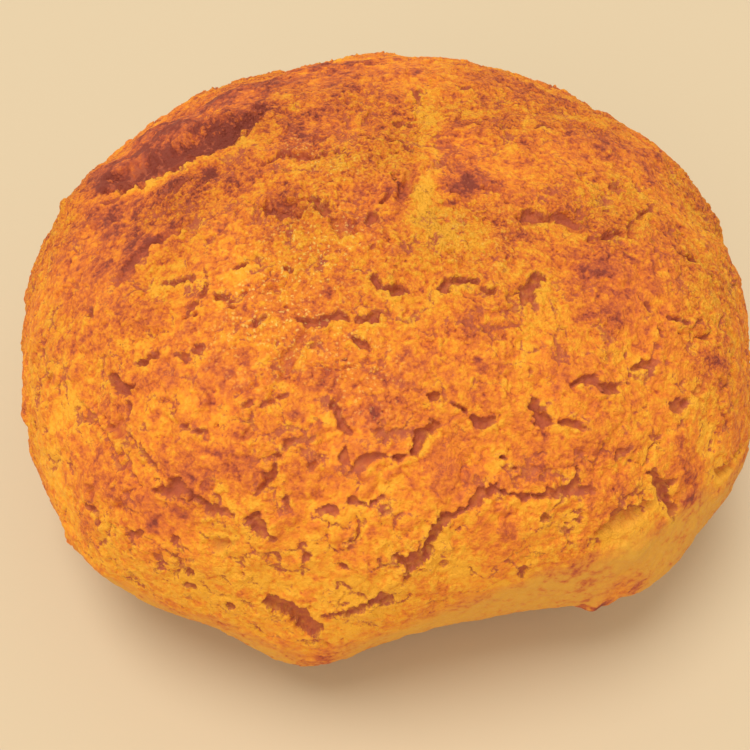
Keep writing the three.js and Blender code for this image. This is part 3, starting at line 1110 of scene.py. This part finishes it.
@dataclass
class Wiring:
    """A node tree, with short ways to add nodes and join them."""

    tree: bpy.types.NodeTree

    def add(self, kind: str, settings: dict[str, object] | None = None, **inputs: object) -> bpy.types.Node:
        """Adds a node.

        Args:
            kind: the node's type, without its ShaderNode start.
            settings: the node's own properties.
            inputs: a socket or a value for each input, named as on the node, with _ for a space.

        Returns:
            The node.
        """
        node = self.tree.nodes.new("ShaderNode" + kind)
        for name, value in (settings or {}).items():
            setattr(node, name, value)
        for name, value in inputs.items():
            index = int(name[1:]) if name.startswith("_") else name.replace("_", " ")
            self.join(value, node.inputs[index])
        return node

    def join(self, value: object, socket: bpy.types.NodeSocket) -> None:
        """Links a socket to another, or sets its value.

        Args:
            value: a socket to link, or a number, vector or colour to set.
            socket: the input.
        """
        if isinstance(value, bpy.types.NodeSocket):
            self.tree.links.new(value, socket)
        else:
            socket.default_value = value

    def math(self, operation: str, *values: object) -> bpy.types.NodeSocket:
        """Adds a Math node.

        Args:
            operation: what the node does.
            values: its inputs, each a number or a socket.

        Returns:
            The result's socket.
        """
        node = self.add("Math", {"operation": operation})
        for index, value in enumerate(values):
            self.join(value, node.inputs[index])
        return node.outputs[0]

    def attribute(self, name: str) -> bpy.types.NodeSocket:
        """A number stored on the mesh."""
        return self.add("Attribute", {"attribute_name": name}).outputs["Fac"]

    def mix(self, share: object, first: object, second: object) -> bpy.types.NodeSocket:
        """Mixes two colours.

        Args:
            share: how much of the second shows.
            first: the colour under it.
            second: the colour on top.

        Returns:
            The mixed colour's socket.
        """
        node = self.add("Mix", {"data_type": "RGBA"})
        for value, index in ((share, 0), (first, 6), (second, 7)):
            self.join(value, node.inputs[index])
        return node.outputs[2]

    def step(self, value: object, low: float, high: float) -> bpy.types.NodeSocket:
        """Eases from 0 at low to 1 at high, which may be the lower one."""
        settings = {"interpolation_type": "SMOOTHSTEP"}
        return self.add("MapRange", settings, Value=value, From_Min=low, From_Max=high).outputs[0]

    def ramp(self, value: object, stops: tuple[tuple[float, Colour], ...]) -> bpy.types.NodeSocket:
        """Turns a number into a colour.

        Args:
            value: a number or a socket.
            stops: positions and their colours, in order.

        Returns:
            The colour's socket.
        """
        node = self.add("ValToRGB", None, Fac=value)
        elements = node.color_ramp.elements
        for element, (position, colour) in zip(elements, (stops[0], stops[-1])):
            element.position, element.color = position, colour
        for position, colour in stops[1:-1]:
            elements.new(position).color = colour
        return node.outputs["Color"]


@dataclass(frozen=True)
class SandyGrain:
    """The crust's fine sugar and flour grain, as a node group."""

    name: str = "sandy_grain"

    def group(self) -> bpy.types.NodeTree:
        """Builds the group: places go in, and the grain's height and its spots come out."""
        group = bpy.data.node_groups.new(self.name, "ShaderNodeTree")
        group.interface.new_socket("Place", in_out="INPUT", socket_type="NodeSocketVector")
        for output in ("Height", "Freckles", "Mottle", "Sugar"):
            group.interface.new_socket(output, in_out="OUTPUT", socket_type="NodeSocketFloat")
        wiring = Wiring(group)
        place = group.nodes.new("NodeGroupInput").outputs["Place"]
        end = group.nodes.new("NodeGroupOutput")
        coarse = wiring.add("TexVoronoi", None, Vector=place, Scale=2300.0)
        fine = wiring.add("TexNoise", None, Vector=place, Scale=2400.0, Detail=3.0, Roughness=0.7)
        lumpy = wiring.math("MULTIPLY_ADD", coarse.outputs["Distance"], -0.5, -0.475)
        height = wiring.math("MULTIPLY_ADD", fine.outputs["Fac"], 1.4, lumpy)
        spots = wiring.add("TexNoise", None, Vector=place, Scale=900.0, Detail=3.0, Roughness=0.55)
        mottle = wiring.add("TexNoise", None, Vector=place, Scale=330.0, Detail=5.0, Roughness=0.62)
        bright = wiring.add("SeparateColor", None, Color=coarse.outputs["Color"]).outputs[0]
        wiring.join(height, end.inputs["Height"])
        wiring.join(wiring.math("ADD", spots.outputs["Fac"], -0.5), end.inputs["Freckles"])
        wiring.join(wiring.math("ADD", mottle.outputs["Fac"], -0.5), end.inputs["Mottle"])
        wiring.join(bright, end.inputs["Sugar"])
        return group


@dataclass(frozen=True)
class FineCracks:
    """Hairline cracks and pinholes between the crumbs, as a node group."""

    name: str = "fine_cracks"

    def group(self) -> bpy.types.NodeTree:
        """Builds the group: places go in, and 1 comes out in a crack or a pinhole."""
        group = bpy.data.node_groups.new(self.name, "ShaderNodeTree")
        group.interface.new_socket("Place", in_out="INPUT", socket_type="NodeSocketVector")
        group.interface.new_socket("Open", in_out="OUTPUT", socket_type="NodeSocketFloat")
        wiring = Wiring(group)
        place = group.nodes.new("NodeGroupInput").outputs["Place"]
        end = group.nodes.new("NodeGroupOutput")
        drift = wiring.add("TexNoise", None, Vector=place, Scale=700.0, Detail=3.0, Roughness=0.65)
        middle = (0.5, 0.5, 0.5)
        centred = wiring.add("VectorMath", {"operation": "SUBTRACT"}, _0=drift.outputs["Color"], _1=middle)
        drifted = wiring.add("VectorMath", {"operation": "SCALE"}, _0=centred.outputs[0], Scale=0.0028)
        ragged = wiring.add("VectorMath", {"operation": "ADD"}, _0=place, _1=drifted.outputs[0]).outputs[0]
        seams = wiring.add("TexVoronoi", {"feature": "DISTANCE_TO_EDGE"}, Vector=ragged, Scale=290.0)
        chance = wiring.add("TexNoise", None, Vector=place, Scale=210.0, Detail=2.0).outputs["Fac"]
        width = wiring.math("MULTIPLY", wiring.step(chance, 0.47, 0.72), 0.8)
        seam = wiring.math("MULTIPLY_ADD", seams.outputs["Distance"], -20.0, width)
        holes = wiring.add("TexVoronoi", None, Vector=ragged, Scale=560.0)
        rare = wiring.add("SeparateColor", None, Color=holes.outputs["Color"]).outputs[1]
        size = wiring.math("MULTIPLY", wiring.math("SUBTRACT", rare, 0.68), 0.75)
        hole = wiring.step(wiring.math("SUBTRACT", holes.outputs["Distance"], size), 0.05, -0.03)
        widest = wiring.math("MAXIMUM", seam, wiring.math("MULTIPLY", hole, 0.8))
        wiring.join(wiring.step(widest, 0.0, 0.8), end.inputs["Open"])
        return group


@dataclass(frozen=True)
class CrustFinish:
    """The baked crust's colours, in linear light, from raw to scorched, and the painted shade and glints laid
    over them.
    """

    stops: tuple[tuple[float, Colour], ...] = (
        (0.05, (0.97, 0.45, 0.038, 1)),
        (0.22, (0.93, 0.362, 0.028, 1)),
        (0.40, (0.88, 0.268, 0.028, 1)),
        (0.55, (0.78, 0.202, 0.031, 1)),
        (0.70, (0.63, 0.142, 0.036, 1)),
        (0.85, (0.46, 0.089, 0.040, 1)),
        (1.0, (0.27, 0.051, 0.034, 1)),
    )
    # The gaps' colour: partly the browned bread under the crust, partly painted shade.
    floor: Colour = (0.46, 0.106, 0.052, 1)
    flank: Colour = (0.72, 0.385, 0.058, 1)
    under: Colour = (0.60, 0.27, 0.062, 1)
    # Painted shade for the hairline cracks and pinholes, which the mesh doesn't sink.
    crack_shade: Colour = (0.42, 0.09, 0.042, 1)
    # The colour of the painted glints.
    glint_colour: Colour = (1.0, 0.74, 0.22, 1)
    shine: float = 0.3
    grain_relief: float = 0.45 * MM

    def material(self) -> bpy.types.Material:
        """Builds the crust's material."""
        material = bpy.data.materials.new("baked_crust")
        material.use_nodes = True
        wiring = Wiring(material.node_tree)
        shader = material.node_tree.nodes["Principled BSDF"]
        shader.inputs["Specular IOR Level"].default_value = self.shine
        place = wiring.add("TexCoord").outputs["Object"]
        grain = wiring.add("Group", {"node_tree": SandyGrain().group()}, Place=place).outputs
        opened = wiring.add("Group", {"node_tree": FineCracks().group()}, Place=place).outputs["Open"]
        edge, hollow = wiring.attribute("edge"), wiring.attribute("hollow")
        crumb, flank = wiring.attribute("crumb"), wiring.attribute("flank")
        under, rough = wiring.attribute("under"), wiring.attribute("rough")
        smooth = wiring.math("MAXIMUM", flank, under)

        # The gap colour covers the fissures' floors and walls and half fills the soft hollows: partly the
        # browned bread under the crust, partly painted shade, most of all on the walls.
        scallop = wiring.math("MULTIPLY_ADD", grain["Height"], 0.4, edge)
        gap = wiring.step(scallop, 0.2, -0.02)
        gap = wiring.math("MAXIMUM", gap, wiring.math("MULTIPLY", hollow, 0.55))
        gap = wiring.math("MULTIPLY", gap, wiring.math("MULTIPLY_ADD", flank, -0.45, 1.0))
        rim = wiring.math("MULTIPLY", wiring.step(edge, 1.3, 0.4), wiring.math("ADD", grain["Mottle"], 0.5))
        tame = wiring.math("MULTIPLY_ADD", flank, -0.6, 1.0)
        tame = wiring.math("MULTIPLY", tame, wiring.math("MULTIPLY_ADD", rough, 0.7, 0.3))

        browning = wiring.attribute("browning")
        # The mottle and freckles are the crust's own colour and the torn rims are paler crumb; the grain's
        # height and the crumbs add painted shade in the hollows between grains and crumbs and painted
        # highlights on their tops.
        for part, weight in (
            (wiring.math("MULTIPLY", grain["Mottle"], tame), 0.6),
            (wiring.math("MULTIPLY", grain["Freckles"], tame), 0.6),
            (wiring.math("MULTIPLY", grain["Height"], wiring.math("ADD", rough, 0.3)), -0.75),
            (wiring.math("ADD", crumb, -0.45), -0.42),
            (rim, -0.35),
        ):
            browning = wiring.math("MULTIPLY_ADD", part, weight, browning)
        crust = wiring.ramp(browning, self.stops)
        pale = wiring.math("MULTIPLY", flank, wiring.step(browning, 0.85, 0.45))
        crust = wiring.mix(wiring.math("MULTIPLY", pale, 0.8), crust, self.flank)
        crust = wiring.mix(wiring.math("MULTIPLY", under, 0.7), crust, self.under)
        # Painted shade in the hairline cracks and pinholes, which have no depth in the mesh.
        hairline_shade = wiring.math("MULTIPLY", opened, wiring.math("MULTIPLY_ADD", smooth, -0.8, 0.9))
        crust = wiring.mix(wiring.math("MULTIPLY", hairline_shade, 0.6), crust, self.crack_shade)
        crumbled = wiring.math("MULTIPLY_ADD", grain["Freckles"], 1.2, 0.88)
        crust = wiring.mix(wiring.math("MULTIPLY", gap, crumbled), crust, self.floor)
        # Painted glints: pale spots on the tops of grains, in the glinting patches.
        glint = wiring.math("MULTIPLY", wiring.step(grain["Sugar"], 0.6, 0.85), wiring.attribute("sugared"))
        glint = wiring.math("MULTIPLY", glint, wiring.step(grain["Height"], 0.0, 0.12))
        crust = wiring.mix(wiring.math("MULTIPLY", glint, 0.6), crust, self.glint_colour)
        wiring.join(crust, shader.inputs["Base Color"])

        gloss = wiring.math("MULTIPLY_ADD", grain["Sugar"], -0.3, 0.88)
        wiring.join(gloss, shader.inputs["Roughness"])
        calm = wiring.math("MAXIMUM", smooth, gap)
        relief = wiring.math("MULTIPLY", grain["Height"], wiring.math("MULTIPLY_ADD", calm, -0.45, 1.0))
        relief = wiring.math("MULTIPLY", relief, wiring.math("MULTIPLY_ADD", rough, 0.85, 0.2))
        bump = wiring.add("Bump", None, Strength=1.0, Distance=self.grain_relief, Height=relief)
        wiring.join(bump.outputs["Normal"], shader.inputs["Normal"])
        return material


# ---------------------------------------------------------------- the studio


@dataclass
class Studio:
    """The floor, the soft light and the camera."""

    elevation: float = math.radians(50.2)
    reach: float = 0.1564
    aim_height: float = 0.022
    aim_right: float = -0.0013
    aim_up: float = -0.0079
    view_angle: float = math.radians(42.0)
    glow_colour: Colour = (0.975, 0.88, 0.63, 1)
    glow_strength: float = 0.68
    lamp_colour: tuple[float, float, float] = (0.975, 0.94, 0.84)
    floor_size: float = 60.0
    floor_colour: Colour = (0.66, 0.548, 0.42, 1)
    backdrop_colour: Colour = (0.80, 0.64, 0.41, 1)

    def camera(self) -> None:
        """Looks down on the bun from the front."""
        forward = Vector((0, math.cos(self.elevation), -math.sin(self.elevation)))
        right = Vector((1, 0, 0))
        up = right.cross(forward)
        aim = Vector((0, 0, self.aim_height)) + self.aim_right * right + self.aim_up * up
        data = bpy.data.cameras.new("camera")
        data.angle = self.view_angle
        data.clip_start = 0.005
        camera = bpy.data.objects.new("camera", data)
        bpy.context.scene.collection.objects.link(camera)
        turn = Matrix((right, up, -forward)).transposed().to_4x4()
        camera.matrix_world = Matrix.Translation(aim - forward * self.reach) @ turn
        bpy.context.scene.camera = camera

    def light(self) -> None:
        """An even glow from all round, a broad soft lamp overhead and a weaker one in front."""
        world = bpy.data.worlds.new("glow")
        bpy.context.scene.world = world
        world.use_nodes = True
        glow = world.node_tree.nodes["Background"]
        glow.inputs["Color"].default_value = self.glow_colour
        glow.inputs["Strength"].default_value = self.glow_strength
        self.backdrop(world.node_tree, glow)
        self.lamp("ceiling_lamp", 33.0, 1.63, Vector((-0.14, 0.06, 0.75)))
        self.lamp("fill_lamp", 40.0, 0.6, Vector((-0.2, -0.55, 0.35)))

    def backdrop(self, tree: bpy.types.NodeTree, glow: bpy.types.Node) -> None:
        """Shows a plain backdrop, about as pale as the floor, in place of the glow itself.

        Args:
            tree: the world's node tree.
            glow: its background shader.
        """
        plain = tree.nodes.new("ShaderNodeBackground")
        plain.inputs["Color"].default_value = self.backdrop_colour
        shown = tree.nodes.new("ShaderNodeMixShader")
        tree.links.new(tree.nodes.new("ShaderNodeLightPath").outputs["Is Camera Ray"], shown.inputs[0])
        tree.links.new(glow.outputs[0], shown.inputs[1])
        tree.links.new(plain.outputs[0], shown.inputs[2])
        tree.links.new(shown.outputs[0], tree.nodes["World Output"].inputs["Surface"])

    def lamp(self, name: str, breadth: float, strength: float, place: Vector) -> None:
        """Adds a far lamp, which lights the floor evenly.

        Args:
            name: the lamp's name.
            breadth: how wide it looks, in degrees, which softens its shadows.
            strength: how bright it is.
            place: which side it shines from.
        """
        data = bpy.data.lights.new(name, "SUN")
        data.angle = math.radians(breadth)
        data.energy = strength
        data.color = self.lamp_colour
        lamp = bpy.data.objects.new(name, data)
        bpy.context.scene.collection.objects.link(lamp)
        lamp.matrix_world = Matrix.Translation(place) @ place.to_track_quat("Z", "Y").to_matrix().to_4x4()

    def floor(self) -> bpy.types.Object:
        """A plain pale floor."""
        deselect_all()
        bpy.ops.mesh.primitive_plane_add(size=self.floor_size, location=(0, 0, 0))
        floor = bpy.context.object
        floor.name = "floor"
        material = bpy.data.materials.new("pale_floor")
        material.use_nodes = True
        shader = material.node_tree.nodes["Principled BSDF"]
        shader.inputs["Base Color"].default_value = self.floor_colour
        shader.inputs["Roughness"].default_value = 0.7
        floor.data.materials.append(material)
        return floor


def main() -> None:
    """Builds the studio and the bun, and reports each piece."""
    logging.basicConfig(level=logging.INFO, format="%(name)s: %(message)s")
    scene = bpy.context.scene
    scene.view_settings.view_transform = "Standard"
    studio = Studio()
    studio.camera()
    studio.light()
    studio.floor()
    crust = CrustFinish().material()
    for piece in PineappleBun().build():
        piece.data.materials.append(crust)
        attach(piece, "root")
        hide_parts("bun")
        log.info("%s: %d triangles", piece.name, len(piece.data.polygons))


if __name__ == "__main__":
    main()
